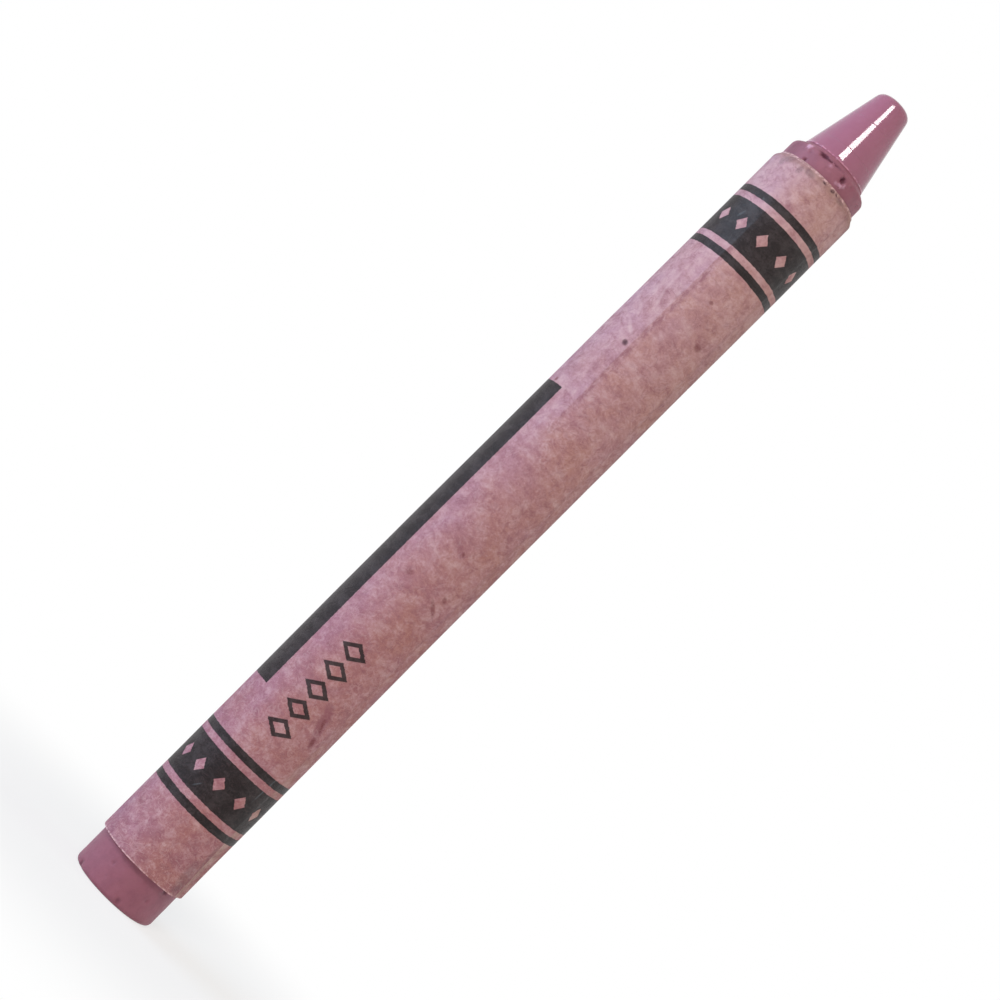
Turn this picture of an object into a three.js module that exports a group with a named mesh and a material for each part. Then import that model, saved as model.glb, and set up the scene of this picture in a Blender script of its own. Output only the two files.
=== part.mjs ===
// A wax crayon: a cast wax stick, the paper label wound round it, and the dried paste that holds the label.
// Millimetres, +Z up. The crayon stands on its flat butt, the butt's centre is the origin, and +Z runs
// along the axis to the writing tip. Angles round the axis start at the front, -Y, and grow towards +X.

import * as THREE from 'three';

// The stick. The barrel is cast with a draft, so it narrows from the butt to the shoulder.
const overallLength = 89;
const buttDiameter = 7.94;
const draftPerMillimetre = 0.0016;
const buttEdgeRound = 0.45;
const pointLength = 7.36;
const coneBaseDiameter = 6.22;
const tipDiameter = 3.13;
const tipRound = 0.75;
const shoulderHeight = 0.9;
const shoulderRound = 0.5;
const shoulderBevelAngle = 45;
const neckGrooveDepth = 0.07;
const neckGrooveWidth = 0.26;

// The label: one sheet of paper, wound from its inner edge outwards.
const bareButtLength = 3.5;
const bareCollarLength = 1.14;
const paperThickness = 0.1;
const innerEdgeAngle = -20;
const outerEdgeAngle = 55;
const fullTurns = 2;
const climbArc = 15;

// The label's tip end is crimped on to the collar, and a corner of its outer edge has come unstuck.
const crimpLength = 0.62;
const crimpedPaperShare = 0.34;
const looseCornerLength = 6.5;
const looseCornerArc = 20;
const looseCornerLift = 0.16;

// The paste, and the hair of clearance kept on each side of it so that no two pieces share a face.
const pasteThickness = 0.02;
const pasteEdgeMargin = 0.9;
const seatClearance = 0.01;

// Facets.
const stepsPerTurn = 72;
const stepAngle = 360 / stepsPerTurn;
const roundSteps = 6;

// Heights along the axis that follow from the sizes above.
const coneBaseHeight = overallLength - pointLength;
const shoulderStartHeight = coneBaseHeight - shoulderHeight;
const labelBottom = bareButtLength;
const labelTop = shoulderStartHeight - bareCollarLength;
const crimpStart = labelTop - crimpLength;

// Sizes of the winding: every turn lies on the paste of the turn below it.
const layerPitch = paperThickness + pasteThickness + 2 * seatClearance;
const labelBoreRadius = buttDiameter / 2 + pasteThickness + 2 * seatClearance;
const woundAngle = 360 * fullTurns + outerEdgeAngle - innerEdgeAngle;

const waxMaterial = new THREE.MeshStandardMaterial({ color: 0xa05c86, roughness: 0.3, metalness: 0 });
const paperMaterial = new THREE.MeshStandardMaterial({ color: 0xc39aa8, roughness: 0.85, metalness: 0 });
const pasteMaterial = new THREE.MeshStandardMaterial({ color: 0xe6ded2, roughness: 0.7, metalness: 0 });

function smooth(share) {
  const clamped = Math.min(Math.max(share, 0), 1);
  return clamped * clamped * (3 - 2 * clamped);
}

// The drafted barrel's radius at a height.
function barrelRadius(height) {
  return buttDiameter / 2 - draftPerMillimetre * height;
}

// Points of an arc in the profile plane, as radius and height. The angle is measured from straight out.
function profileArc(centreRadius, centreHeight, arcRadius, fromAngle, toAngle) {
  const points = [];
  for (let step = 0; step <= roundSteps; step += 1) {
    const angle = THREE.MathUtils.degToRad(fromAngle + (toAngle - fromAngle) * step / roundSteps);
    const radius = centreRadius + arcRadius * Math.cos(angle);
    points.push(new THREE.Vector2(radius, centreHeight + arcRadius * Math.sin(angle)));
  }
  return points;
}

// The stick's profile from the butt's centre to the tip's centre.
function stickProfile() {
  const barrelTopRadius = barrelRadius(shoulderStartHeight);
  const coneBaseRadius = coneBaseDiameter / 2;
  const coneSlope = (coneBaseRadius - tipDiameter / 2) / pointLength;
  const coneAngle = THREE.MathUtils.radToDeg(Math.atan(coneSlope));
  const grooveRadius = coneBaseRadius - neckGrooveDepth;
  const grooveTop = coneBaseHeight + neckGrooveWidth / 2;
  const grooveTopRadius = coneBaseRadius - coneSlope * neckGrooveWidth / 2;

  // The tip's rounding is tangent to the cone's side and to the flat at the end.
  const roundReach = tipRound * Math.tan(THREE.MathUtils.degToRad((90 - coneAngle) / 2));
  const tipFlatRadius = tipDiameter / 2 - roundReach;

  return [
    new THREE.Vector2(0, 0),
    ...profileArc(buttDiameter / 2 - buttEdgeRound, buttEdgeRound, buttEdgeRound, -90, 0),
    ...profileArc(barrelTopRadius - shoulderRound, shoulderStartHeight, shoulderRound, 0, shoulderBevelAngle),
    new THREE.Vector2(coneBaseRadius, coneBaseHeight - neckGrooveWidth / 2),
    new THREE.Vector2(grooveRadius, coneBaseHeight),
    new THREE.Vector2(grooveTopRadius, grooveTop),
    ...profileArc(tipFlatRadius, overallLength - tipRound, tipRound, coneAngle, 90),
    new THREE.Vector2(0, overallLength),
  ];
}

// A revolve about the vertical axis. LatheGeometry turns about Y, so the solid is stood up on Z.
function revolve(profile) {
  const geometry = new THREE.LatheGeometry(profile, stepsPerTurn);
  geometry.rotateX(Math.PI / 2);
  return geometry;
}

// How far the winding has climbed, in layers, at an angle counted from the sheet's inner edge. Each turn
// lies flat and rises by one layer over the last few degrees, where it rides up over the inner edge.
function layersClimbed(windAngle) {
  const turn = Math.floor(windAngle / 360 + 1e-9);
  const withinTurn = windAngle - 360 * turn;
  return turn + smooth((withinTurn - (360 - climbArc)) / climbArc);
}

// The radius of the label's inner face on a straight stretch.
function woundRadius(windAngle) {
  return labelBoreRadius + layerPitch * layersClimbed(windAngle);
}

// How far the unstuck corner stands off, at an angle and a height.
function cornerLift(windAngle, height) {
  const alongEdge = smooth((windAngle - (woundAngle - looseCornerArc)) / looseCornerArc);
  const alongAxis = smooth((labelBottom + looseCornerLength - height) / looseCornerLength);
  return looseCornerLift * alongEdge * alongAxis;
}

// A radius in the straight winding, pressed on to the collar where the end is crimped.
function crimped(radius, height) {
  const share = smooth((height - crimpStart) / crimpLength);
  const pressed = barrelRadius(height) + seatClearance + crimpedPaperShare * (radius - labelBoreRadius);
  return radius + (pressed - radius) * share;
}

function labelInner(windAngle, height) {
  return crimped(woundRadius(windAngle), height) + cornerLift(windAngle, height);
}

function labelOuter(windAngle, height) {
  return crimped(woundRadius(windAngle) + paperThickness, height) + cornerLift(windAngle, height);
}

// The paste under the first turn fills the wedge that the draft leaves, and has one thickness above it.
function pasteInner(windAngle, height) {
  if (windAngle < 360 - stepAngle / 2) {
    return barrelRadius(height) + seatClearance;
  }
  return woundRadius(windAngle) - seatClearance - pasteThickness;
}

function pasteOuter(windAngle) {
  return woundRadius(windAngle) - seatClearance;
}

// A closed solid between two faces wound round the axis, with a cut face at each edge and each end.
function woundSheet(innerRadius, outerRadius, angleToStop, heights) {
  const columns = Math.round(angleToStop / stepAngle);
  const rows = heights.length;
  const positions = [];
  for (let column = 0; column <= columns; column += 1) {
    const windAngle = angleToStop * column / columns;
    const angle = THREE.MathUtils.degToRad(innerEdgeAngle + windAngle);
    for (const height of heights) {
      for (const radius of [innerRadius(windAngle, height), outerRadius(windAngle, height)]) {
        positions.push(radius * Math.sin(angle), -radius * Math.cos(angle), height);
      }
    }
  }

  const indices = [];
  const vertex = (column, row, side) => (column * rows + row) * 2 + side;
  const quad = (a, b, c, d) => indices.push(a, b, c, a, c, d);
  const inner = 0;
  const outer = 1;
  for (let column = 0; column < columns; column += 1) {
    const next = column + 1;
    for (let row = 0; row < rows - 1; row += 1) {
      const up = row + 1;
      quad(vertex(column, row, outer), vertex(next, row, outer), vertex(next, up, outer), vertex(column, up, outer));
      quad(vertex(column, row, inner), vertex(column, up, inner), vertex(next, up, inner), vertex(next, row, inner));
    }
    const top = rows - 1;
    quad(vertex(column, 0, inner), vertex(next, 0, inner), vertex(next, 0, outer), vertex(column, 0, outer));
    quad(vertex(column, top, inner), vertex(column, top, outer), vertex(next, top, outer), vertex(next, top, inner));
  }
  for (let row = 0; row < rows - 1; row += 1) {
    const up = row + 1;
    quad(vertex(0, row, inner), vertex(0, row, outer), vertex(0, up, outer), vertex(0, up, inner));
    quad(vertex(columns, row, inner), vertex(columns, up, inner), vertex(columns, up, outer), vertex(columns, row, outer));
  }

  const geometry = new THREE.BufferGeometry();
  geometry.setAttribute('position', new THREE.Float32BufferAttribute(positions, 3));
  geometry.setIndex(indices);
  geometry.computeVertexNormals();
  return geometry;
}

// Evenly spaced heights from one to another, both ends included.
function heightSteps(from, to, steps) {
  return Array.from({ length: steps + 1 }, (unused, step) => from + (to - from) * step / steps);
}

function makeWaxStick() {
  const mesh = new THREE.Mesh(revolve(stickProfile()), waxMaterial);
  mesh.name = 'wax_stick';
  return mesh;
}

function makeLabel() {
  const heights = [
    ...heightSteps(labelBottom, labelBottom + looseCornerLength, 5),
    ...heightSteps(crimpStart, labelTop, 4),
  ];
  const mesh = new THREE.Mesh(woundSheet(labelInner, labelOuter, woundAngle, heights), paperMaterial);
  mesh.name = 'label';
  return mesh;
}

// The film stops short of the sheet's ends and of the corner that has come unstuck.
function makePasteFilm() {
  const heights = heightSteps(labelBottom + pasteEdgeMargin, crimpStart - pasteEdgeMargin, 1);
  const geometry = woundSheet(pasteInner, pasteOuter, woundAngle - looseCornerArc, heights);
  const mesh = new THREE.Mesh(geometry, pasteMaterial);
  mesh.name = 'paste_film';
  return mesh;
}

const crayon = new THREE.Group();
crayon.name = 'crayon';
crayon.add(makeWaxStick(), makePasteFilm(), makeLabel());

export default crayon;
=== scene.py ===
"""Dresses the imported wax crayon: cast wax, a wound and printed paper label, dried paste and a pale studio.

Every piece is in metres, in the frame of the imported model: the crayon stands on its butt at the origin,
+Z runs to the tip and the viewer is at -Y. Angles round the axis start at -Y and grow towards +X.
"""

import functools
import math
import random

import bpy
from mathutils import Matrix, Vector, noise


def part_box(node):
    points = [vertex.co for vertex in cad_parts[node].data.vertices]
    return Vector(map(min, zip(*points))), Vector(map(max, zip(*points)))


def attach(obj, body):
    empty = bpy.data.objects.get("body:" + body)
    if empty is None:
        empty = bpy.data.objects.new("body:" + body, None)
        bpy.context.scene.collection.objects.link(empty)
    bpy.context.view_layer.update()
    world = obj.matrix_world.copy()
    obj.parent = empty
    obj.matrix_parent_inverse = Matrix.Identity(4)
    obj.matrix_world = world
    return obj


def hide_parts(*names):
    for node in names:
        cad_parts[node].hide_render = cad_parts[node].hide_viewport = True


bl_info = {
    "name": "Wax Crayon Looks",
    "version": (1, 0, 0),
    "blender": (4, 5, 0),
    "location": "3D View > Sidebar > Crayon",
    "description": "Makes the wax, the wound label and the studio of a wax crayon",
    "category": "Object",
}

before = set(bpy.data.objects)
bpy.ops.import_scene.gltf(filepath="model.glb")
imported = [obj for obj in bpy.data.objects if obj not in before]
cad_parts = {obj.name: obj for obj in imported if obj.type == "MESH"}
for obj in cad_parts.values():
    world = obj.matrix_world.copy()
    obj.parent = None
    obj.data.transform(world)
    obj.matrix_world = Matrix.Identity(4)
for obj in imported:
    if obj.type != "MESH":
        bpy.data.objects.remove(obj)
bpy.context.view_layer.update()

MM = 0.001
BODY = "root"
FULL_TURN = 360.0

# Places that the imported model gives.
WAX_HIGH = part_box("wax_stick")[1]
LABEL_LOW, LABEL_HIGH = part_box("label")
OVERALL_LENGTH = WAX_HIGH[2]
LABEL_BOTTOM = LABEL_LOW[2]
LABEL_TOP = LABEL_HIGH[2]
BUTT_RADIUS = WAX_HIGH[0]


# Settings that a user can change.


def plain_setting(name, description, default, **limits):
    return bpy.props.FloatProperty(name=name, description=description, default=default, **limits)


def length_setting(name, description, millimetres):
    return plain_setting(name, description, millimetres * MM, unit="LENGTH")


def share_setting(name, description, default):
    return plain_setting(name, description, default, min=0.0, max=1.0, subtype="FACTOR")


def angle_setting(name, description, degrees):
    return plain_setting(name, description, math.radians(degrees), subtype="ANGLE")


def color_setting(name, description, color):
    return bpy.props.FloatVectorProperty(
        name=name, description=description, default=color, subtype="COLOR", size=3, min=0.0, max=1.0
    )


class CrayonWaxProperties(bpy.types.PropertyGroup):
    """Sizes and finish of the cast wax stick."""

    draft: plain_setting("Draft", "How much the barrel's radius shrinks for each unit of height", 0.0016)
    point_length: length_setting("Point Length", "From the crease at the neck to the end of the tip", 7.36)
    cone_base_diameter: length_setting("Cone Base Diameter", "Across the cone at the neck", 6.22)
    tip_diameter: length_setting("Tip Diameter", "Across the tip, before its edge is rounded", 3.13)
    tip_round: length_setting("Tip Rounding", "Radius of the tip's rounded edge", 0.75)
    butt_round: length_setting("Butt Rounding", "Radius of the butt's broken edge", 0.45)
    shoulder_height: length_setting("Shoulder Height", "From the straight collar to the crease", 0.9)
    shoulder_round: length_setting("Shoulder Rounding", "Radius between the collar and the bevel", 0.5)
    groove_depth: length_setting("Crease Depth", "Depth of the crease, which wax has partly filled", 0.035)
    groove_width: length_setting("Crease Width", "Width of the crease at the neck", 0.26)
    color: color_setting("Wax Colour", "Colour of clean wax", (0.343, 0.115, 0.184))
    # Painted shade: the dark colour painted into the pits and tears of the wax, where shade falls.
    pit_shade_color: color_setting("Painted Pit Shade", "Colour in the pits and the crease", (0.075, 0.006, 0.024))
    point_roughness: share_setting("Point Roughness", "Roughness of the glossy point", 0.10)
    handled_color: color_setting("Handled Wax Colour", "Colour of the dull wax", (0.315, 0.113, 0.155))
    handled_roughness: share_setting("Handled Roughness", "Roughness of the collar and the butt", 0.5)


class CrayonLabelProperties(bpy.types.PropertyGroup):
    """Sizes and finish of the wound label."""

    paper_thickness: length_setting("Paper Thickness", "Thickness of the sheet", 0.10)
    paste_gap: length_setting("Paste Gap", "Space that the paste takes under each turn", 0.04)
    inner_edge: plain_setting("Inner Edge", "Degrees round the axis to the sheet's inner edge", -20.0)
    wound_angle: plain_setting("Wound Angle", "Degrees from the inner edge to the outer edge", 795.0)
    climb_arc: plain_setting("Climb Arc", "Degrees over which a turn rides up over the inner edge", 15.0)
    crimp_length: length_setting("Crimp Length", "Length of the tip end that is pinched in", 0.62)
    crimp_share: share_setting("Crimped Share", "Share of the thickness left at the crimped rim", 0.34)
    loose_length: length_setting("Loose Corner Length", "Length of the outer edge that is unstuck", 6.5)
    loose_arc: plain_setting("Loose Corner Arc", "Degrees of the outer edge that are unstuck", 20.0)
    loose_lift: length_setting("Loose Corner Lift", "How far the unstuck corner stands off", 0.16)
    # Painted light: the lilac colours are painted on the upper side of the turn for the cool light that falls
    # there, and the colours near the tip are painted paler for the light that falls there. Rose and lilac
    # also mix at random in the paper's clouds.
    rose_paper: color_setting("Rose Paper", "Warmer paper near the butt", (0.446, 0.190, 0.173))
    lilac_paper: color_setting("Lilac Paper", "Cooler paper near the butt", (0.424, 0.196, 0.266))
    lit_tip_rose: color_setting("Lit Tip Rose", "Warmer paper near the tip", (0.541, 0.303, 0.268))
    lit_tip_lilac: color_setting("Lit Tip Lilac", "Cooler paper near the tip", (0.570, 0.343, 0.402))
    pale_paper: color_setting("Pale Paper", "Rubbed paper", (0.72, 0.50, 0.51))
    stain_color: color_setting("Stain", "Deeper stains and creases", (0.27, 0.095, 0.125))
    ink_color: color_setting("Ink", "Printed rings, bars and lozenges", (0.0175, 0.0120, 0.0128))


class CrayonStageProperties(bpy.types.PropertyGroup):
    """The camera."""

    camera_distance: length_setting("Camera Distance", "From the camera to where it looks", 184.0)
    camera_aim: length_setting("Camera Aim", "Height of the axis at the middle of the picture", 43.6)
    camera_aside: length_setting("Camera Aside", "How far the camera stands to the side", -0.148)
    camera_pitch: angle_setting("Camera Pitch", "How far the camera looks up", 3.2)
    axis_angle: angle_setting("Axis Angle", "The axis above the picture's horizontal", 45.06)
    lens: plain_setting("Lens", "Focal length on a sensor 36 mm wide", 82.8, unit="CAMERA")


# Numbers and meshes.


def smooth(share):
    """A smooth step from 0 to 1."""
    clamped = min(max(share, 0.0), 1.0)
    return clamped * clamped * (3.0 - 2.0 * clamped)


def bell(value, centre, width):
    """A soft hump that is 1 at its centre."""
    away = (value - centre) / width
    return math.exp(-away * away)


def blend_between(low, high, share):
    return low + (high - low) * share


def steps_between(start, stop, count):
    """Evenly spaced values from start to stop, both included."""
    return [blend_between(start, stop, index / count) for index in range(count + 1)]


def stretches(start, *stops):
    """Values from start through several stops, each given with the count of steps up to it."""
    values = [start]
    for stop, count in stops:
        values += steps_between(start, stop, count)[1:]
        start = stop
    return values


def on_cylinder(radius, degrees, height):
    """The point at an angle round the axis, which starts at -Y and grows towards +X."""
    angle = math.radians(degrees)
    return Vector((radius * math.sin(angle), -radius * math.cos(angle), height))


def ripple(degrees, height, size, seed):
    """Smooth noise, about -1 to 1, over the crayon's surface. size is the width of one ripple."""
    place = on_cylinder(BUTT_RADIUS, degrees, height) / size
    return noise.noise(place + Vector((seed, 2.0 * seed, -seed)))


def new_mesh_object(name, vertices, faces, sharp_degrees=40.0):
    """A smooth shaded mesh object whose edges stay sharp past an angle."""
    mesh = bpy.data.meshes.new(name)
    mesh.from_pydata([tuple(vertex) for vertex in vertices], [], faces)
    mesh.validate()
    mesh.polygons.foreach_set("use_smooth", [True] * len(mesh.polygons))
    mesh.set_sharp_from_angle(angle=math.radians(sharp_degrees))
    made = bpy.data.objects.new(name, mesh)
    bpy.context.collection.objects.link(made)
    return made


def skin_faces(rings, around):
    """Faces over rings of vertices round an axis, closed at the first and the last vertex."""
    last = 1 + rings * around
    faces = []
    for step in range(around):
        following = (step + 1) % around
        faces.append((0, 1 + following, 1 + step))
        for low in range(1, last - around, around):
            high = low + around
            faces.append((low + step, low + following, high + following, high + step))
        rim = last - around
        faces.append((rim + step, rim + following, last))
    return faces


def slab_patches(column_count, row_count):
    """The corners of each face of a closed slab, as (column, row, side), with the part it belongs to."""
    last = column_count - 1
    top = row_count - 1
    patches = []
    for near in range(last):
        far = near + 1
        for row in range(top):
            up = row + 1
            patches.append(("outside", ((near, row, 1), (far, row, 1), (far, up, 1), (near, up, 1))))
            patches.append(("inside", ((near, row, 0), (near, up, 0), (far, up, 0), (far, row, 0))))
        patches.append(("bottom", ((near, 0, 0), (far, 0, 0), (far, 0, 1), (near, 0, 1))))
        patches.append(("top", ((near, top, 0), (near, top, 1), (far, top, 1), (far, top, 0))))
    for row in range(top):
        up = row + 1
        patches.append(("start", ((0, row, 0), (0, row, 1), (0, up, 1), (0, up, 0))))
        patches.append(("end", ((last, row, 0), (last, up, 0), (last, up, 1), (last, row, 1))))
    return patches


def new_slab_object(name, vertices, patches, row_count, sharp_degrees):
    """A slab whose vertices run up each column in pairs, the one on the inside first."""
    faces = []
    for _, corners in patches:
        faces.append(tuple((column * row_count + row) * 2 + side for column, row, side in corners))
    return new_mesh_object(name, vertices, faces, sharp_degrees)


# Node trees.


class Nodes:
    """Adds nodes to a tree. What a node takes is a value or the socket that feeds it."""

    def __init__(self, tree):
        self.tree = tree

    def put(self, kind, inputs=None, **settings):
        """Adds a node. inputs maps the names or numbers of its sockets to what they take."""
        made = self.tree.nodes.new(kind)
        count = len(self.tree.nodes)
        made.location = (200.0 * (count // 6), -180.0 * (count % 6))
        for name, value in settings.items():
            setattr(made, name, value)
        for key, value in (inputs or {}).items():
            self.feed(made.inputs[key], value)
        return made

    def feed(self, socket, value):
        if isinstance(value, bpy.types.NodeSocket):
            self.tree.links.new(value, socket)
        else:
            socket.default_value = value

    def math(self, operation, *values):
        return self.put("ShaderNodeMath", dict(enumerate(values)), operation=operation).outputs[0]

    def vector(self, operation, *values):
        return self.put("ShaderNodeVectorMath", dict(enumerate(values)), operation=operation).outputs[0]

    def plus(self, first, second):
        return self.math("ADD", first, second)

    def minus(self, first, second):
        return self.math("SUBTRACT", first, second)

    def times(self, first, second):
        return self.math("MULTIPLY", first, second)

    def over(self, first, second):
        return self.math("DIVIDE", first, second)

    def times_plus(self, value, factor, added):
        return self.math("MULTIPLY_ADD", value, factor, added)

    def distance(self, first, second):
        return self.math("ABSOLUTE", self.minus(first, second))

    def higher(self, first, second):
        return self.math("MAXIMUM", first, second)

    def strongest(self, *masks):
        """The highest of several masks."""
        return functools.reduce(self.higher, masks)

    def step(self, value, low, high):
        """0 below low and 1 above high, smooth between them. low may be above high."""
        inputs = {"Value": value, "From Min": low, "From Max": high}
        return self.put("ShaderNodeMapRange", inputs, interpolation_type="SMOOTHSTEP").outputs["Result"]

    def between(self, share, first, second):
        """A value between two others."""
        return self.put("ShaderNodeMix", {0: share, 2: first, 3: second}, data_type="FLOAT").outputs[0]

    def mix(self, share, first, second):
        """A colour between two others. A colour that isn't a socket has three channels."""
        inputs = {0: share}
        for key, colour in ((6, first), (7, second)):
            inputs[key] = colour if isinstance(colour, bpy.types.NodeSocket) else (*colour, 1.0)
        return self.put("ShaderNodeMix", inputs, data_type="RGBA").outputs[2]

    def joined(self, x=0.0, y=0.0, z=0.0):
        return self.put("ShaderNodeCombineXYZ", {"X": x, "Y": y, "Z": z}).outputs[0]

    def parts(self, vector):
        return self.put("ShaderNodeSeparateXYZ", {0: vector}).outputs

    def turned(self, vector, angle):
        """A vector turned about Z."""
        inputs = {"Vector": vector, "Angle": angle}
        return self.put("ShaderNodeVectorRotate", inputs, rotation_type="Z_AXIS").outputs[0]

    def stretched(self, vector, scales):
        return self.vector("MULTIPLY", vector, scales)

    def noise(self, vector, scale, detail=2.0, roughness=0.5, distortion=0.0):
        inputs = {"Vector": vector, "Scale": scale, "Detail": detail}
        inputs |= {"Roughness": roughness, "Distortion": distortion}
        return self.put("ShaderNodeTexNoise", inputs).outputs[0]

    def attribute(self, name):
        return self.put("ShaderNodeAttribute", attribute_name=name, attribute_type="GEOMETRY").outputs

    def group(self, name, **values):
        """Places a shared node group and returns its mask."""
        made = self.put("ShaderNodeGroup", node_tree=bpy.data.node_groups[name])
        for key, value in values.items():
            self.feed(made.inputs[key.capitalize()], value)
        return made.outputs[0]

    def finish(self, shader, colour, rough, height, bump_mm, strength):
        """Feeds a Principled shader. A height from 0 to 1 stands for bump_mm millimetres."""
        inputs = {"Height": height, "Distance": bump_mm * MM, "Strength": strength}
        self.feed(shader.inputs["Normal"], self.put("ShaderNodeBump", inputs).outputs[0])
        self.feed(shader.inputs["Base Color"], colour)
        self.feed(shader.inputs["Roughness"], rough)


def new_material(name, kind=Nodes):
    """A material with a shader and an output, what adds more nodes to its tree, and the shader."""
    material = bpy.data.materials.new(name)
    material.use_nodes = True
    tree = material.node_tree
    tree.nodes.clear()
    shader = tree.nodes.new("ShaderNodeBsdfPrincipled")
    output = tree.nodes.new("ShaderNodeOutputMaterial")
    tree.links.new(shader.outputs[0], output.inputs["Surface"])
    return material, kind(tree), shader


# Effects that more than one material or mark uses.


def new_group(name, **inputs):
    """A node group that puts out a mask. Its inputs are numbers, or vectors where None is given."""
    tree = bpy.data.node_groups.new(name, "ShaderNodeTree")
    for key, default in inputs.items():
        kind = "NodeSocketVector" if default is None else "NodeSocketFloat"
        socket = tree.interface.new_socket(key.capitalize(), in_out="INPUT", socket_type=kind)
        if default is not None:
            socket.default_value = default
    tree.interface.new_socket("Mask", in_out="OUTPUT", socket_type="NodeSocketFloat")
    entry = tree.nodes.new("NodeGroupInput").outputs
    leave = tree.nodes.new("NodeGroupOutput").inputs
    return Nodes(tree), entry, leave["Mask"]


def make_clouding_group():
    """Soft clouds of stain: a value round 0.5 that spreads with the contrast."""
    nodes, entry, leave = new_group("Clouding", vector=None, size=1.0, contrast=1.5)
    scale = nodes.over(1.0, entry["Size"])
    cloud = nodes.noise(entry["Vector"], scale, 4.0, 0.6, 0.3)
    spread = nodes.times_plus(nodes.minus(cloud, 0.5), entry["Contrast"], 0.5)
    nodes.feed(leave, nodes.put("ShaderNodeClamp", {"Value": spread}).outputs[0])


def make_fibre_group():
    """Short fibres that lie mostly one way."""
    inputs = {"vector": None, "turn": 0.0, "length": 1.0, "width": 0.1, "share": 0.6}
    nodes, entry, leave = new_group("Paper Fibres", **inputs)
    bend = nodes.noise(entry["Vector"], 0.9, 1.0)
    turned = nodes.turned(entry["Vector"], nodes.times_plus(bend, 1.6, entry["Turn"]))
    scales = nodes.joined(nodes.over(1.0, entry["Length"]), nodes.over(1.0, entry["Width"]), 1.0)
    strands = nodes.noise(nodes.stretched(turned, scales), 1.0, 2.0, 0.6)
    upper = nodes.plus(entry["Share"], 0.09)
    nodes.feed(leave, nodes.step(strands, entry["Share"], upper))


def make_vein_group():
    """Thin branching lines that come and go, like creases or matted fibres."""
    nodes, entry, leave = new_group("Veins", vector=None, size=1.0, width=0.1)
    scale = nodes.over(1.0, entry["Size"])
    folds = nodes.noise(entry["Vector"], scale, 2.0, 0.6, 0.8)
    line = nodes.step(nodes.distance(folds, 0.5), entry["Width"], 0.0)
    elsewhere = nodes.vector("ADD", entry["Vector"], (13.0, 5.0, 0.0))
    kept = nodes.step(nodes.noise(elsewhere, scale, 1.0), 0.42, 0.60)
    nodes.feed(leave, nodes.times(line, kept))


def make_speck_group():
    """Small round specks, each somewhere in its own cell, in a share of the cells."""
    nodes, entry, leave = new_group("Specks", vector=None, spacing=1.0, radius=0.1, share=0.5)
    scale = nodes.over(1.0, entry["Spacing"])
    cells = nodes.put("ShaderNodeTexVoronoi", {"Vector": entry["Vector"], "Scale": scale}).outputs
    distance = nodes.times(cells["Distance"], entry["Spacing"])
    chance = nodes.put("ShaderNodeSeparateColor", {0: cells["Color"]}).outputs[0]
    size = nodes.times(entry["Radius"], nodes.plus(chance, 0.5))
    speck = nodes.step(distance, size, nodes.times(size, 0.35))
    kept = nodes.math("LESS_THAN", chance, entry["Share"])
    nodes.feed(leave, nodes.times(speck, kept))


def make_mark_group():
    """One soft mark, such as a scuff or a smear: a broken oval patch at a place."""
    inputs = {"vector": None, "centre": None, "turn": 0.0, "length": 1.0, "width": 0.3, "breaks": 0.5}
    nodes, entry, leave = new_group("Worn Mark", **inputs)
    away = nodes.vector("SUBTRACT", entry["Vector"], entry["Centre"])
    parts = nodes.parts(nodes.turned(away, entry["Turn"]))
    along = nodes.over(parts[0], entry["Length"])
    across = nodes.over(parts[1], entry["Width"])
    shape = nodes.step(nodes.times_plus(along, along, nodes.times(across, across)), 0.30, 0.0)
    grain = nodes.noise(entry["Vector"], 5.5, 3.0, 0.7)
    holes = nodes.times(nodes.step(grain, 0.62, 0.40), entry["Breaks"])
    nodes.feed(leave, nodes.times(shape, nodes.minus(1.0, holes)))


def make_stripe_group():
    """A ring or a bar: 1 within half a width of a place on one coordinate."""
    nodes, entry, leave = new_group("Stripe", place=0.0, centre=0.0, width=1.0)
    away = nodes.distance(entry["Place"], entry["Centre"])
    beyond = nodes.minus(away, nodes.times(entry["Width"], 0.5))
    nodes.feed(leave, nodes.step(beyond, 0.025, -0.025))


def make_lozenge_group():
    """A row of lozenges a pitch apart along one coordinate, centred on 0 of the other."""
    inputs = {"along": 0.0, "across": 0.0, "pitch": 1.0, "length": 1.0, "width": 1.0}
    nodes, entry, leave = new_group("Lozenge Row", **inputs)
    half_pitch = nodes.times(entry["Pitch"], 0.5)
    within = nodes.math("FLOORED_MODULO", nodes.plus(entry["Along"], half_pitch), entry["Pitch"])
    along = nodes.over(nodes.distance(within, half_pitch), nodes.times(entry["Length"], 0.5))
    across = nodes.over(nodes.math("ABSOLUTE", entry["Across"]), nodes.times(entry["Width"], 0.5))
    nodes.feed(leave, nodes.step(nodes.plus(along, across), 1.05, 0.95))


def make_shared_groups():
    make_clouding_group()
    make_fibre_group()
    make_vein_group()
    make_speck_group()
    make_mark_group()
    make_stripe_group()
    make_lozenge_group()


def stripe(nodes, place, centre, width):
    return nodes.group("Stripe", place=place, centre=centre, width=width)


def lozenge_row(nodes, along, across, pitch, size):
    return nodes.group("Lozenge Row", along=along, across=across, pitch=pitch, length=size[0], width=size[1])


# The wax: colours, and two fine nicks across the point that sway a little, in millimetres.
# A painted highlight: the pale colour painted on the wax's bumps, where they catch the light.
BUMP_HIGHLIGHT = (0.72, 0.42, 0.56)
DULL_WAX = (0.22, 0.085, 0.12)
NICK_HEIGHTS = (83.0, 86.0)
NICK_SWAY = 0.5


def places_in_mm(nodes):
    """Object coordinates in millimetres, and the height alone."""
    place = nodes.stretched(nodes.put("ShaderNodeTexCoord").outputs["Object"], (1000.0, 1000.0, 1000.0))
    return place, nodes.parts(place)[2]


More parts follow.
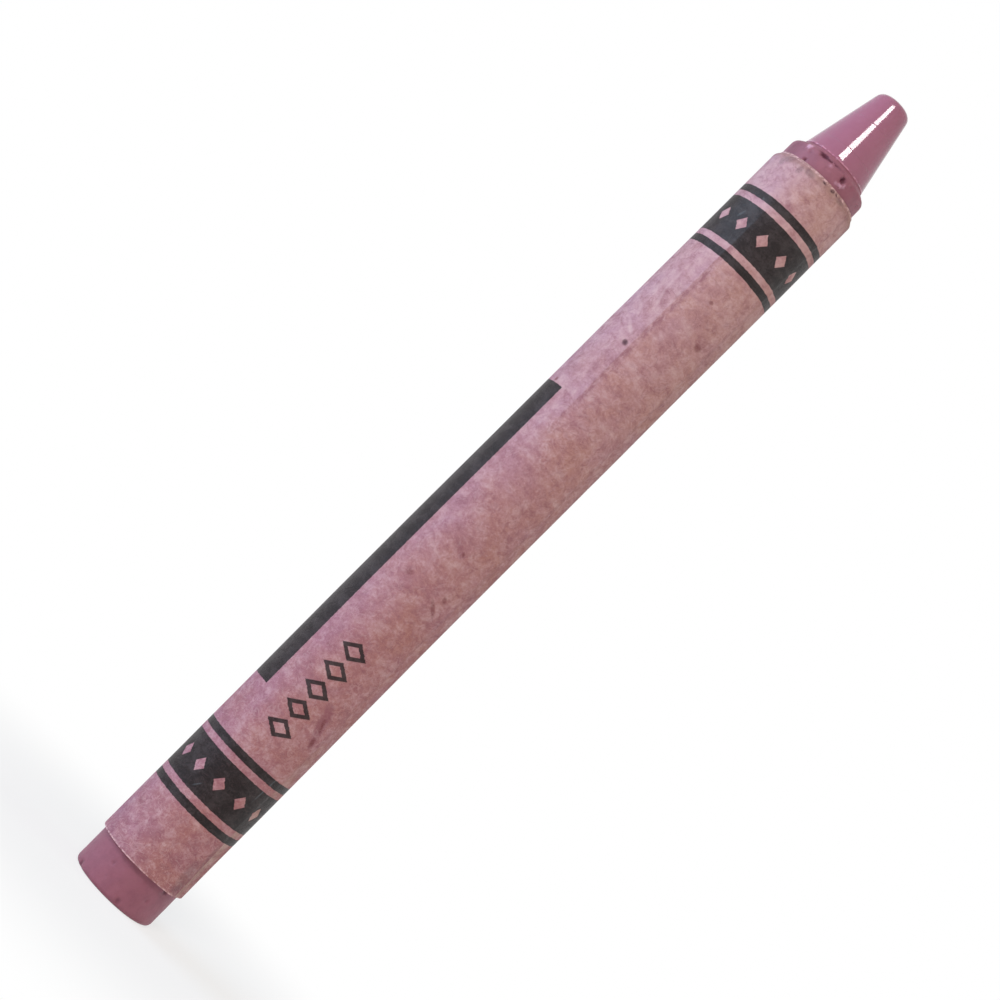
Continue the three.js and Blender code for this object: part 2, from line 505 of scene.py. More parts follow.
def wax_colour(nodes, wax, place, clean):
    """Clouded wax, with painted shade in its pits and tears, darker on its broad patches, and with painted
    highlights on its bumps.
    """
    cloud = nodes.group("Clouding", vector=place, size=1.3, contrast=1.6)
    # Painted shade in the pits and tears, and painted highlights on the bumps.
    torn = nodes.attribute("wax_shade_and_highlight")["Fac"]
    dark = nodes.higher(torn, 0.0)
    raised = nodes.times(nodes.math("MINIMUM", torn, 0.0), -1.0)
    milky = [min(1.0, 1.16 * channel + 0.015) for channel in clean]
    toned = nodes.mix(nodes.times(cloud, 0.55), clean, milky)
    bump_highlighted = nodes.mix(raised, toned, BUMP_HIGHLIGHT)
    return nodes.mix(dark, bump_highlighted, wax.pit_shade_color)


def finish_wax(shader, refraction):
    """The soft translucency that both finishes share."""
    shader.inputs["Subsurface Weight"].default_value = 0.12
    shader.inputs["Subsurface Radius"].default_value = (1.0, 0.45, 0.7)
    shader.inputs["Subsurface Scale"].default_value = 0.5 * MM
    shader.inputs["IOR"].default_value = refraction


def make_point_material(wax):
    """The glossy wax of the point, with a painted highlight along the lip at the neck and faint tool rings.
    """
    material, nodes, shader = new_material("cast_wax")
    place, height = places_in_mm(nodes)
    colour = wax_colour(nodes, wax, place, wax.color)
    neck = (OVERALL_LENGTH - wax.point_length) / MM
    # Painted highlight: a pale stripe along the lip at the neck, broken by noise, for the light that the
    # lip's edge catches.
    lip = stripe(nodes, height, neck + 0.05, 0.13)
    worn = nodes.step(nodes.noise(place, 2.4, 3.0, 0.6), 0.38, 0.60)
    pale = [min(1.0, 1.5 * channel + 0.08) for channel in wax.color]
    lip_highlighted = nodes.mix(nodes.times(lip, worn), colour, pale)

    rubbed = nodes.noise(nodes.stretched(place, (1.0, 1.0, 0.25)), 1.2, 1.0, 0.6)
    rough = nodes.between(rubbed, wax.point_roughness - 0.01, wax.point_roughness + 0.02)

    rings = nodes.noise(nodes.stretched(place, (0.5, 0.5, 2.2)), 1.0, 2.0, 0.6)
    swayed = nodes.times_plus(nodes.noise(place, 0.8, 1.0), NICK_SWAY, height)
    nicks = [stripe(nodes, swayed, nick + NICK_SWAY / 2, 0.02) for nick in NICK_HEIGHTS]
    surface = nodes.times_plus(rings, 0.045, nodes.times(nodes.strongest(*nicks), -0.9))
    nodes.finish(shader, lip_highlighted, rough, surface, 0.03, 1.0)
    finish_wax(shader, 1.45)
    return material


def make_handled_material(wax):
    """The dull, pitted wax of the collar and the butt, with painted shade in its pits."""
    material, nodes, shader = new_material("handled_wax")
    place = places_in_mm(nodes)[0]
    colour = wax_colour(nodes, wax, place, wax.handled_color)
    dull = nodes.step(nodes.noise(place, 1.1, 4.0, 0.7), 0.42, 0.66)
    dulled = nodes.mix(nodes.times(dull, 0.30), colour, DULL_WAX)
    pits = nodes.group("Specks", vector=place, spacing=0.55, radius=0.08, share=0.4)
    # Painted shade: the pits are painted dark.
    pitted = nodes.mix(nodes.times(pits, 0.45), dulled, wax.pit_shade_color)

    rubbed = nodes.noise(place, 2.2, 3.0, 0.6)
    rough = nodes.between(rubbed, wax.handled_roughness - 0.1, wax.handled_roughness + 0.14)
    skin = nodes.noise(place, 4.0, 4.0, 0.65)
    surface = nodes.times_plus(pits, -0.5, nodes.times(skin, 0.8))
    nodes.finish(shader, pitted, rough, surface, 0.03, 1.0)
    finish_wax(shader, 1.33)
    return material


def barrel_radius(wax, height):
    return BUTT_RADIUS - wax.draft * height


def profile_arc(centre, radius, angles):
    """Points of an arc in the profile. Angles start outwards and grow towards the tip."""
    turns = [math.radians(angle) for angle in angles]
    return [(centre[0] + radius * math.cos(turn), centre[1] + radius * math.sin(turn)) for turn in turns]


def wax_profile(wax):
    """Radius and height from the butt's centre to the tip's centre, fine where the wax shows."""
    neck = OVERALL_LENGTH - wax.point_length
    shoulder = neck - wax.shoulder_height
    cone_radius = wax.cone_base_diameter / 2
    slope = (cone_radius - wax.tip_diameter / 2) / wax.point_length
    lean = math.atan(slope)
    half_groove = wax.groove_width / 2
    crease = neck - 0.06 * MM

    butt_corner = (BUTT_RADIUS - wax.butt_round, wax.butt_round)
    points = [(radius, 0.0) for radius in steps_between(0.0, butt_corner[0], 12)[1:]]
    points += profile_arc(butt_corner, wax.butt_round, steps_between(-90.0, 0.0, 8)[1:])

    hidden_from = LABEL_BOTTOM + 0.8 * MM
    hidden_to = LABEL_TOP - 0.9 * MM
    heights = stretches(wax.butt_round, (hidden_from, 30), (hidden_to, 8), (shoulder, 26))[1:]
    points += [(barrel_radius(wax, height), height) for height in heights]

    collar_corner = (barrel_radius(wax, shoulder) - wax.shoulder_round, shoulder)
    points += profile_arc(collar_corner, wax.shoulder_round, steps_between(0.0, 45.0, 7)[1:])
    round_end = points[-1]
    for share in steps_between(0.0, 1.0, 8)[1:]:
        radius = blend_between(round_end[0], cone_radius, share)
        points.append((radius, blend_between(round_end[1], neck - half_groove, share)))

    flat_radius = wax.tip_diameter / 2 - wax.tip_round * math.tan((math.pi / 2 - lean) / 2)
    cone_top = OVERALL_LENGTH - wax.tip_round * (1 - math.sin(lean))
    for height in stretches(neck - half_groove, (neck + 3.0 * half_groove, 20), (cone_top, 32))[1:-1]:
        groove = wax.groove_depth * smooth(1.0 - abs(height - crease) / half_groove)
        points.append((cone_radius - slope * max(0.0, height - neck) - groove, height))
    tip_corner = (flat_radius, OVERALL_LENGTH - wax.tip_round)
    points += profile_arc(tip_corner, wax.tip_round, steps_between(math.degrees(lean), 90.0, 10))
    points += [(radius, OVERALL_LENGTH) for radius in steps_between(flat_radius, 0.0, 5)[1:-1]]
    return points


# Pits and bumps of the collar and the butt: angle, height, radius across and depth, in degrees and
# millimetres. A bump has a depth below 0. Pits are painted dark as painted shade and bumps pale as painted
# highlights.
COLLAR_MARKS = (
    (18.5, 80.57, 0.46, 0.24),
    (20.0, 80.16, 0.40, -0.08),
    (24.5, 80.34, 0.30, -0.05),
    (14.0, 80.02, 0.28, -0.045),
    (-34.0, 79.76, 0.30, 0.16),
    (-42.0, 80.93, 0.40, -0.13),
    (-6.0, 81.66, 0.24, -0.035),
    (-37.0, 81.70, 0.26, -0.03),
    (-35.5, 80.54, 0.28, 0.07),
    (-4.0, 80.70, 0.34, -0.04),
    # A painted shadow: a shallow pit just under the label's bottom edge, painted dark for the shadow that the
    # edge casts on the wax.
    (50.0, 3.36, 0.55, 0.14),
    (33.0, 80.75, 0.30, 0.06),
    (64.0, 80.4, 0.36, 0.09),
    (118.0, 80.1, 0.32, 0.08),
    (171.0, 80.6, 0.42, 0.12),
    (-142.0, 80.2, 0.30, 0.08),
    (-96.0, 80.7, 0.34, 0.10),
    (12.0, 0.5, 0.44, 0.10),
    (-58.0, 0.3, 0.5, 0.12),
    (97.0, 0.4, 0.46, 0.11),
    (-168.0, 0.6, 0.4, 0.08),
    (38.0, 1.9, 0.32, 0.07),
    (-22.0, 2.3, 0.28, 0.07),
)

# Torn stretches of the shoulder, cut into the wax and painted dark as painted shade: angle, half angle, drop
# under the neck, half width and depth.
NECK_TEARS = (
    (-18.5, 5.2, 0.62, 0.22, 0.34),
    (-25.0, 4.0, 0.48, 0.12, 0.14),
    (-7.0, 9.0, 0.64, 0.13, 0.17),
    (5.0, 11.0, 0.52, 0.13, 0.085),
    (131.0, 14.0, 0.42, 0.18, 0.16),
    (-128.0, 18.0, 0.40, 0.16, 0.13),
)

# Broad darker patches on the collar: angle, half angle, height, half height and share.
COLLAR_DARK_PATCHES = (
    (-62.0, 17.0, 80.2, 1.2, 0.34),
    (-24.0, 8.0, 80.0, 0.9, 0.12),
    (55.0, 20.0, 80.2, 1.2, 0.17),
    (150.0, 30.0, 80.0, 1.0, 0.15),
)


def angle_from(degrees, centre):
    """The signed angle from a centre, -180 to 180."""
    return (degrees - centre + 180.0) % FULL_TURN - 180.0


def collar_mark_depth(degrees, height):
    """How far the pits and bumps move the surface in at a place."""
    depth = 0.0
    for mark_degrees, mark_height, mark_radius, mark_depth in COLLAR_MARKS:
        rise = height / MM - mark_height
        if abs(rise) > 1.5 * mark_radius:
            continue
        across = math.radians(angle_from(degrees, mark_degrees)) * BUTT_RADIUS / MM
        wobble = 1.0 + 0.45 * noise.noise(Vector((across * 7.0, rise * 7.0, mark_degrees)))
        reach = math.hypot(across, rise) / (mark_radius * wobble)
        depth += mark_depth * MM * smooth(1.0 - reach)
    return depth


def neck_tear_depth(degrees, under_neck):
    """How deep the torn stretches are at an angle and a distance under the neck."""
    if abs(under_neck) >= 1.3 * MM:
        return 0.0
    depth = 0.0
    for tear_degrees, half_angle, drop, half_width, tear_depth in NECK_TEARS:
        along = angle_from(degrees, tear_degrees) / half_angle
        ragged = 0.07 * noise.noise(Vector((degrees / 3.0, tear_degrees, 2.0)))
        across = (under_neck / MM - drop + ragged) / half_width
        depth += tear_depth * MM * math.exp(-along * along - across * across)
    return depth


def dark_patch_share(degrees, height):
    """How much of the broad darker patches lies at a place of the collar."""
    share = 0.0
    for patch_degrees, half_angle, patch_height, half_height, strength in COLLAR_DARK_PATCHES:
        along = angle_from(degrees, patch_degrees) / half_angle
        across = (height / MM - patch_height) / half_height
        cloudy = 1.0 + 0.5 * noise.noise(Vector((degrees / 6.0, height / MM * 1.4, 4.0)))
        share += strength * cloudy * math.exp(-along * along - across**4)
    return share


def wax_relief(wax, degrees, radius, height):
    """How far the cast surface stands off its clean form."""
    neck = OVERALL_LENGTH - wax.point_length
    on_point = smooth((height - neck) / (0.4 * MM))
    swell = 0.010 * MM * ripple(degrees, height, 2.6 * MM, 3.0) * (1.0 - 0.65 * on_point)
    grain = 0.016 * MM * ripple(degrees, height, 0.55 * MM, 8.0) * (1.0 - on_point)
    crease = 0.05 * MM * bell(height, neck, 0.16 * MM) * ripple(degrees, height, 1.1 * MM, 5.0)
    lip = 0.022 * MM * bell(height, neck + 0.04 * MM, 0.06 * MM)
    lip *= 0.7 + ripple(degrees, 0.0, 0.9 * MM, 11.0)
    worn = neck_tear_depth(degrees, neck - height) + collar_mark_depth(degrees, height)
    return (swell + grain + crease + lip - worn) * smooth(radius / (1.2 * MM))


def shade_and_highlight_share(wax, degrees, height):
    """How dark the wax is painted, up to 1, for painted shade in its tears and pits and for its broad darker
    patches, and how pale, down to -1, for painted highlights on its bumps.
    """
    under_neck = OVERALL_LENGTH - wax.point_length - height
    marks = collar_mark_depth(degrees, height)
    if marks < 0.0:
        return -0.85 * smooth(-marks / (0.08 * MM))
    dark_patches = dark_patch_share(degrees, height) if under_neck > 0.0 else 0.0
    return max(dark_patches, 0.95 * smooth((neck_tear_depth(degrees, under_neck) + marks) / (0.19 * MM)))


def make_wax_stick(wax):
    """The cast stick, revolved from its profile with the relief of a real casting."""
    around = 360
    profile = wax_profile(wax)
    vertices = [Vector((0.0, 0.0, 0.0))]
    torn = [0.0]
    for radius, height in profile:
        on_end = height < 1e-9 or height > OVERALL_LENGTH - 1e-9
        for step in range(around):
            degrees = FULL_TURN * step / around
            out = radius if on_end else radius + wax_relief(wax, degrees, radius, height)
            vertices.append(on_cylinder(out, degrees, height))
            torn.append(shade_and_highlight_share(wax, degrees, height))
    vertices.append(Vector((0.0, 0.0, OVERALL_LENGTH)))
    torn.append(0.0)

    made = new_mesh_object("crayon_wax", vertices, skin_faces(len(profile), around), sharp_degrees=60.0)
    made.data.attributes.new("wax_shade_and_highlight", "FLOAT", "POINT").data.foreach_set("value", torn)
    made.data.materials.append(make_point_material(wax))
    made.data.materials.append(make_handled_material(wax))
    neck = OVERALL_LENGTH - wax.point_length - 0.01 * MM
    below_neck = [int(face.center.z < neck) for face in made.data.polygons]
    made.data.polygons.foreach_set("material_index", below_neck)
    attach(made, BODY)
    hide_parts("wax_stick")


# The label: the arc over which the sheet bridges the inner edge where that is blurred, in degrees.
BRIDGE_ARC = 21.0


def layers_climbed(label, wind):
    """How far the winding has climbed, in layers: it steepens up to the inner edge and then lies flat."""
    turn = math.floor(wind / FULL_TURN + 1e-9)
    within = wind - FULL_TURN * turn
    return turn + max(0.0, (within - (FULL_TURN - label.climb_arc)) / label.climb_arc) ** 1.7


def ridge_wander(label, wind, height):
    """How far the ridge over the inner edge strays along the turn that shows, in degrees."""
    fades_in = smooth((wind - (2.0 * FULL_TURN - 60.0)) / 30.0)
    fades_out = smooth((label.wound_angle - wind) / 40.0)
    slow = 1.5 * ripple(0.0, height, 5.0 * MM, 61.0)
    quick = 0.7 * ripple(0.0, height, 1.3 * MM, 67.0)
    return fades_in * fades_out * (slow + quick)


def crispness(height):
    """How crisply the inner edge shows through at a height: it is blurred in the butt half and at the rim."""
    return smooth((height - 47.0 * MM) / (9.0 * MM)) * smooth((76.0 * MM - height) / (3.0 * MM))


def inner_edge_crest(wind, height):
    """The ridge that the inner edge pushes up in the turn that shows."""
    here = 1.0 + 0.5 * ripple(0.0, height, 4.0 * MM, 37.0)
    return 0.032 * MM * max(0.0, here) * crispness(height) * bell(wind, 2.0 * FULL_TURN, 1.7)


def eased_climb(label, wind, height):
    """How far the sheet stands off its climb where it bridges the inner edge in a long soft rise."""
    from_edge = wind - 2.0 * FULL_TURN
    if from_edge >= 0.0 or from_edge < -BRIDGE_ARC:
        return 0.0
    bridged = 1.0 + smooth(1.0 + from_edge / BRIDGE_ARC)
    gap = max(0.0, bridged - layers_climbed(label, wind))
    return gap * (label.paper_thickness + label.paste_gap) * (1.0 - crispness(height))


def corner_lift(label, wind, height):
    """How far the unstuck corner of the outer edge stands off."""
    along_edge = smooth((wind - (label.wound_angle - label.loose_arc)) / label.loose_arc)
    along_axis = smooth((LABEL_BOTTOM + label.loose_length - height) / label.loose_length)
    return label.loose_lift * along_edge * along_axis


def label_radius(wax, label, wind, height, outer):
    """The radius of one face of the sheet, with its crimp, its loose corner and its small waves."""
    degrees = label.inner_edge + wind
    bore = BUTT_RADIUS + label.paste_gap
    settled = wind - ridge_wander(label, wind, height)
    flat = bore + (label.paper_thickness + label.paste_gap) * layers_climbed(label, settled)
    if outer:
        # Away from the loose corner, the outer edge is pressed thin and pasted down.
        pasted = smooth((height - LABEL_BOTTOM - 0.6 * label.loose_length) / (0.5 * label.loose_length))
        thinned = 0.7 * pasted * smooth(1.0 - (label.wound_angle - wind) / 5.0)
        flat += label.paper_thickness * (1.0 - thinned) + inner_edge_crest(settled, height)
        flat += eased_climb(label, settled, height)
    share = smooth((height - (LABEL_TOP - label.crimp_length)) / label.crimp_length)
    pleats = 0.05 * MM * ripple(degrees, 0.0, 0.8 * MM, 21.0)
    pressed = barrel_radius(wax, height) + 0.02 * MM + label.crimp_share * (flat - bore) + max(0.0, pleats)
    waves = 0.014 * MM * (0.6 + ripple(degrees, height, 5.0 * MM, 13.0)) * (1.0 - share)
    return flat + (pressed - flat) * share + waves + corner_lift(label, wind, height)


def on_sheet(radius, degrees, height, flat_height):
    """A point of the wound sheet, a little off centre: to +X near the tip and to -X lower down."""
    high_side = smooth((flat_height - 58.0 * MM) / (14.0 * MM))
    place = on_cylinder(radius, degrees, height)
    place.x += (0.06 * high_side - 0.07 * bell(flat_height, 33.0 * MM, 15.0 * MM)) * MM
    return place


def end_wander(wind, strength, seed):
    """How far a cut end of the sheet wanders along the axis at one place of the winding."""
    slow = noise.noise(Vector((wind / 34.0, seed, 0.0)))
    quick = noise.noise(Vector((wind / 5.0, seed, 4.0)))
    nick = max(0.0, noise.noise(Vector((wind / 9.0, seed, 9.0))) - 0.35)
    return abs(strength * (0.6 * slow + 0.3 * quick) + 2.2 * strength * nick)


def wandered(wind, height):
    """The height with the wander of the nearer cut end, which fades out over a millimetre."""
    up_share = smooth(1.0 - (LABEL_TOP - height) / MM)
    down_share = smooth(1.0 - (height - LABEL_BOTTOM) / MM)
    down = up_share * end_wander(wind, 0.06 * MM, 31.0)
    up = down_share * end_wander(wind, 0.07 * MM, 47.0)
    return height - down + up


def label_columns(label):
    """Angles of the winding, coarse in the hidden turns and fine in the last, and where the last begins."""
    shown_from = label.wound_angle - FULL_TURN - 2.0 * label.climb_arc
    ridge_from = 2.0 * FULL_TURN - 1.4 * label.climb_arc
    ridge_to = 2.0 * FULL_TURN + 8.0
    stops = []
    start = 0.0
    for stop, step in ((shown_from, 10.0), (ridge_from, 2.2), (ridge_to, 0.7), (label.wound_angle, 1.6)):
        stops.append((stop, round((stop - start) / step)))
        start = stop
    return stretches(0.0, *stops), shown_from


def label_rows():
    """Heights of the sheet: fine at both cut ends."""
    low_zone = LABEL_BOTTOM + 2.0 * MM
    high_zone = LABEL_TOP - 1.3 * MM
    return stretches(LABEL_BOTTOM, (low_zone, 18), (high_zone, 84), (LABEL_TOP, 26))


# The sheet's texture map: the margin, the width of a block, the left side of the right hand blocks, the
# scale of the blocks that show, the low side and the height of the hidden ones, and the cut edges' strips.
MAP_MARGIN = 0.004
MAP_BLOCK = 0.49
MAP_RIGHT = 0.506
MAP_SHOWN_SCALE = 1.29
MAP_HIDDEN_LOW = 0.675
MAP_HIDDEN_HEIGHT = 0.24
MAP_STRIP_HEIGHT = 0.012
MAP_STRIPS = {"bottom": 0.925, "top": 0.945, "start": 0.965, "end": 0.985}


def map_sheet(sheet, columns, rows, shown_from, patches):
    """A texture map that gives most of its room to the turn that shows, in two blocks side by side."""
    middle_row = len(rows) // 2
    rises = [(row - rows[0]) / (rows[-1] - rows[0]) for row in rows]
    flat = []
    for part, corners in patches:
        near, low, _ = corners[0]
        shows = part == "outside" and columns[near] > shown_from - 0.01
        for column, row, outer in corners:
            wound = columns[column] / columns[-1]
            if shows:
                shown = (columns[column] - shown_from) / (columns[-1] - shown_from)
                left, floor = (MAP_MARGIN, 0.0) if low < middle_row else (MAP_RIGHT, rises[middle_row])
                flat += (left + MAP_BLOCK * shown, MAP_MARGIN + MAP_SHOWN_SCALE * (rises[row] - floor))
            elif part in MAP_STRIPS:
                along = rises[row] if part in ("start", "end") else wound
                across = MAP_STRIPS[part] + MAP_STRIP_HEIGHT * outer
                flat += (MAP_MARGIN + (1.0 - 2.0 * MAP_MARGIN) * along, across)
            else:
                left = MAP_RIGHT if part == "inside" else MAP_MARGIN
                flat += (left + MAP_BLOCK * rises[row], MAP_HIDDEN_LOW + MAP_HIDDEN_HEIGHT * wound)
    sheet.data.uv_layers.new(name="OFBake").data.foreach_set("uv", flat)


def make_label_sheet(wax, label):
    """One closed sheet wound from its inner edge to its outer edge, with its plan kept as an attribute."""
    columns, shown_from = label_columns(label)
    rows = label_rows()
    outer_radius = BUTT_RADIUS + 2.0 * (label.paper_thickness + label.paste_gap)
    vertices = []
    plan = []
    for wind in columns:
        degrees = label.inner_edge + wind
        around_mm = math.radians(degrees - 2.0 * FULL_TURN) * outer_radius / MM
        for flat_height in rows:
            height = wandered(wind, flat_height)
            for outer in (0, 1):
                radius = label_radius(wax, label, wind, flat_height, outer)
                vertices.append(on_sheet(radius, degrees, height, flat_height))
                plan.extend((around_mm, height / MM, float(outer)))

    patches = slab_patches(len(columns), len(rows))
    made = new_slab_object("paper_label", vertices, patches, len(rows), 50.0)
    made.data.attributes.new("sheet_plan", "FLOAT_VECTOR", "POINT").data.foreach_set("vector", plan)
    map_sheet(made, columns, rows, shown_from, patches)
    return made


# The print, in millimetres on the sheet's plan: rings near both ends, a lengthwise frame of bars on the
# far side and a short row of open lozenges near the butt. Where a lozenge has a size, it is a length and
# a width.
RINGS_CENTRES = (12.40, 72.42)
WIDE_RING = 3.8
THIN_RING = 0.68
RING_GAP = 0.6
RING_LOZENGE = (1.1, 1.35)
LOZENGES_PER_TURN = 12
TURN_LENGTH = 2.0 * math.pi * (BUTT_RADIUS / MM + 0.28)
BAR_FRAME_LOW = 20.4
BAR_FRAME_HIGH = 53.2
BAR_FRAME_NEAR = -3.25
BAR_WIDTH = 3.4
BAR_GAP = 0.8
BAR_ROW_WIDTH = 2.0
BAR_ROW_PITCH = 3.0
BAR_LOZENGE = (2.2, 1.7)
SHORT_ROW_CENTRE = 22.85
SHORT_ROW_SIDE = 0.25
SHORT_ROW_PITCH = 2.05
SHORT_ROW_COUNT = 5
SHORT_ROW_LOZENGE = (1.75, 2.5)
SHORT_ROW_HOLE = (0.95, 1.36)


def ring_set(nodes, along, height, centre):
    """A wide ring with a row of paper-coloured lozenges, between two thin rings."""
    wide = stripe(nodes, height, centre, WIDE_RING)
    offset = WIDE_RING / 2 + RING_GAP + THIN_RING / 2
    thin = [stripe(nodes, height, place, THIN_RING) for place in (centre - offset, centre + offset)]
    across = nodes.minus(height, centre)
    lozenges = lozenge_row(nodes, along, across, TURN_LENGTH / LOZENGES_PER_TURN, RING_LOZENGE)
    pierced = nodes.higher(nodes.minus(wide, lozenges), 0.0)
    return nodes.strongest(pierced, *thin)


def bar_frame(nodes, along, height):
    """Two lengthwise bars with a row of lozenges between them."""
    middle = (BAR_FRAME_HIGH + BAR_FRAME_LOW) / 2
    within = stripe(nodes, height, middle, BAR_FRAME_HIGH - BAR_FRAME_LOW)
    near = BAR_FRAME_NEAR - BAR_WIDTH / 2
    row_place = BAR_FRAME_NEAR - BAR_WIDTH - BAR_GAP - BAR_ROW_WIDTH / 2
    bars = [stripe(nodes, along, centre, BAR_WIDTH) for centre in (near, 2 * row_place - near)]
    up = nodes.minus(height, middle)
    lozenges = lozenge_row(nodes, up, nodes.minus(along, row_place), BAR_ROW_PITCH, BAR_LOZENGE)
    return nodes.times(within, nodes.strongest(lozenges, *bars))


def short_row(nodes, along, height):
    """A short lengthwise row of small lozenges, drawn in outline."""
    within = stripe(nodes, height, SHORT_ROW_CENTRE, SHORT_ROW_PITCH * SHORT_ROW_COUNT)
    up = nodes.minus(height, SHORT_ROW_CENTRE)
    across = nodes.minus(along, SHORT_ROW_SIDE)
    solid = lozenge_row(nodes, up, across, SHORT_ROW_PITCH, SHORT_ROW_LOZENGE)
    hole = lozenge_row(nodes, up, across, SHORT_ROW_PITCH, SHORT_ROW_HOLE)
    return nodes.times(within, nodes.higher(nodes.minus(solid, hole), 0.0))


# Where the inner edge shows through and where the outer edge lies, along the turn.
INNER_EDGE_LINE = -1.30
OUTER_EDGE_LINE = 4.08

# Marks of wear, and of painted shade and sheen, in millimetres on the sheet's plan: place along the turn,
# height, turn in degrees, length, width and share of breaks.
SMEARS = (
    (2.66, 20.7, 66.0, 4.2, 1.05, 0.4),
    (2.25, 22.1, 60.0, 2.2, 1.0, 0.3),
    (-0.4, 75.9, 30.0, 1.3, 0.7, 0.4),
    (-2.2, 75.2, 110.0, 1.0, 0.6, 0.3),
)
SCRATCHES = (
    (2.22, 33.66, 41.0, 1.9, 0.42, 0.4),
    (2.46, 34.74, 60.0, 0.7, 0.44, 0.5),
    (-1.11, 34.41, 150.0, 0.9, 0.55, 0.5),
    (2.46, 62.9, 10.0, 0.88, 0.70, 0.25),
    (0.6, 66.1, 0.0, 0.48, 0.40, 0.2),
    (-4.63, 53.5, 0.0, 0.5, 0.45, 0.1),
    (0.9, 38.3, 60.0, 0.5, 0.3, 0.2),
    (3.06, 19.6, 75.0, 1.2, 0.5, 0.2),
    (2.62, 21.1, 66.0, 1.5, 0.42, 0.5),
)
CREASES = (
    (0.5, 47.6, 5.0, 1.9, 0.34, 0.7),
    (0.2, 51.4, 172.0, 1.7, 0.34, 0.7),
    (1.3, 44.2, 165.0, 1.3, 0.4, 0.7),
    (-0.6, 54.3, 4.0, 2.6, 0.5, 0.9),
    (1.6, 54.9, 170.0, 2.4, 0.6, 0.9),
    (-1.2, 57.7, 10.0, 1.8, 0.5, 0.9),
    (1.1, 58.2, 176.0, 3.6, 0.6, 0.9),
    (0.4, 60.9, 20.0, 2.2, 0.5, 0.9),
    (2.2, 64.6, 160.0, 1.8, 0.5, 0.9),
    (0.6, 50.4, 12.0, 2.0, 0.5, 0.9),
    (1.2, 29.2, 95.0, 1.6, 0.5, 0.8),
    (-0.4, 40.4, 140.0, 1.9, 0.5, 0.9),
    (1.9, 44.6, 15.0, 2.2, 0.5, 0.9),
)
SPOTS = (
    (-2.0, 59.15, 20.0, 0.68, 0.56, 0.15),
    (1.21, 79.30, 150.0, 0.66, 0.40, 0.4),
    (0.26, 79.28, 20.0, 0.54, 0.30, 0.5),
    (1.68, 79.34, 30.0, 0.36, 0.24, 0.3),
)
PALE_CREASES = (
    (-2.84, 60.48, 36.0, 2.4, 0.40, 0.2),
    (-2.62, 63.49, 74.0, 2.7, 0.40, 0.2),
    (-2.98, 65.44, 88.0, 3.0, 0.38, 0.2),
    (-3.35, 61.9, 60.0, 2.0, 0.40, 0.4),
    (-1.9, 45.2, 40.0, 1.5, 0.30, 0.6),
    (-2.6, 50.6, 120.0, 1.6, 0.32, 0.6),
)
# Dirt and painted shade: grey marks just under the tip's rim and along the lap, partly dirt and partly the
# shade that falls behind the rim and under the lap's edge.
DIRT_AND_SHADE = (
    (-1.14, 79.02, 20.0, 1.3, 0.7, 0.3),
    (-3.45, 79.02, 150.0, 1.4, 0.8, 0.4),
    (-3.9, 78.55, 60.0, 0.9, 0.7, 0.4),
    (2.3, 79.2, 170.0, 1.2, 0.6, 0.4),
    (-1.9, 78.7, 100.0, 0.9, 0.6, 0.4),
    (3.55, 5.2, 85.0, 4.6, 1.3, 0.4),
    (3.66, 4.40, 4.0, 0.66, 1.7, 0.0),
    (3.9, 7.4, 88.0, 4.0, 0.5, 0.5),
)
SCUFFS = (
    (-2.94, 73.1, 20.0, 0.34, 1.1, 0.4),
    (-2.3, 74.9, 60.0, 0.9, 0.26, 0.5),
    (3.09, 74.7, 110.0, 1.0, 0.4, 0.4),
    (3.04, 14.5, 4.0, 0.20, 3.0, 0.4),
    (-1.2, 11.2, 35.0, 0.16, 0.9, 0.5),
)
# Painted sheen: broad patches on the ink of the upper side near the tip, painted bluish for the light that
# the ink reflects there.
INK_SHEEN = (
    (-2.9, 73.2, 90.0, 5.6, 3.4, 0.5),
    (-2.2, 71.2, 80.0, 4.0, 2.2, 0.6),
)

# Colours of wear, and of painted light and shade.
DRY_PAPER = (0.50, 0.33, 0.28)
SMEARED_WAX = (0.25, 0.075, 0.115)
SCRATCHED_WAX = (0.19, 0.05, 0.055)
CRIMPED_PAPER = (0.37, 0.225, 0.180)
GREY_DIRT = (0.16, 0.10, 0.12)
RUBBED_AND_LIT_RIM = (0.74, 0.47, 0.48)
DARK_SPOT = (0.060, 0.022, 0.032)
# Also the colour of the ink's painted sheen.
SCUFFED_AND_SHEEN_INK = (0.13, 0.15, 0.17)


class SheetNodes(Nodes):
    """Adds nodes to the label's tree, and holds the places on the sheet's plan, in millimetres."""

    def __init__(self, tree):
        super().__init__(tree)
        self.along, self.height, self.on_outer = self.parts(self.attribute("sheet_plan")["Vector"])
        self.plan = self.joined(self.along, self.height)
        self.flipped = self.joined(self.height, self.along, 7.0)

    def mark(self, along, height, degrees, length, width, breaks):
        values = {"centre": (along, height, 0.0), "turn": math.radians(degrees), "breaks": breaks}
        return self.group("Worn Mark", vector=self.plan, length=length, width=width, **values)

    def marks(self, marks):
        """The strongest of several worn marks, each joined to the others as soon as it is made."""
        return functools.reduce(self.higher, (self.mark(*mark) for mark in marks))

    def fibres(self, vector, width, share):
        """Fibres in three directions, joined in the same way."""
        values = {"vector": vector, "width": width, "share": share}
        ways = ((0.2, 0.9), (1.3, 0.7), (2.4, 0.8))
        fibres = (self.group("Paper Fibres", turn=turn, length=length, **values) for turn, length in ways)
        return functools.reduce(self.higher, fibres)

    def specks(self, spacing, radius, share):
        return self.group("Specks", vector=self.plan, spacing=spacing, radius=radius, share=share)


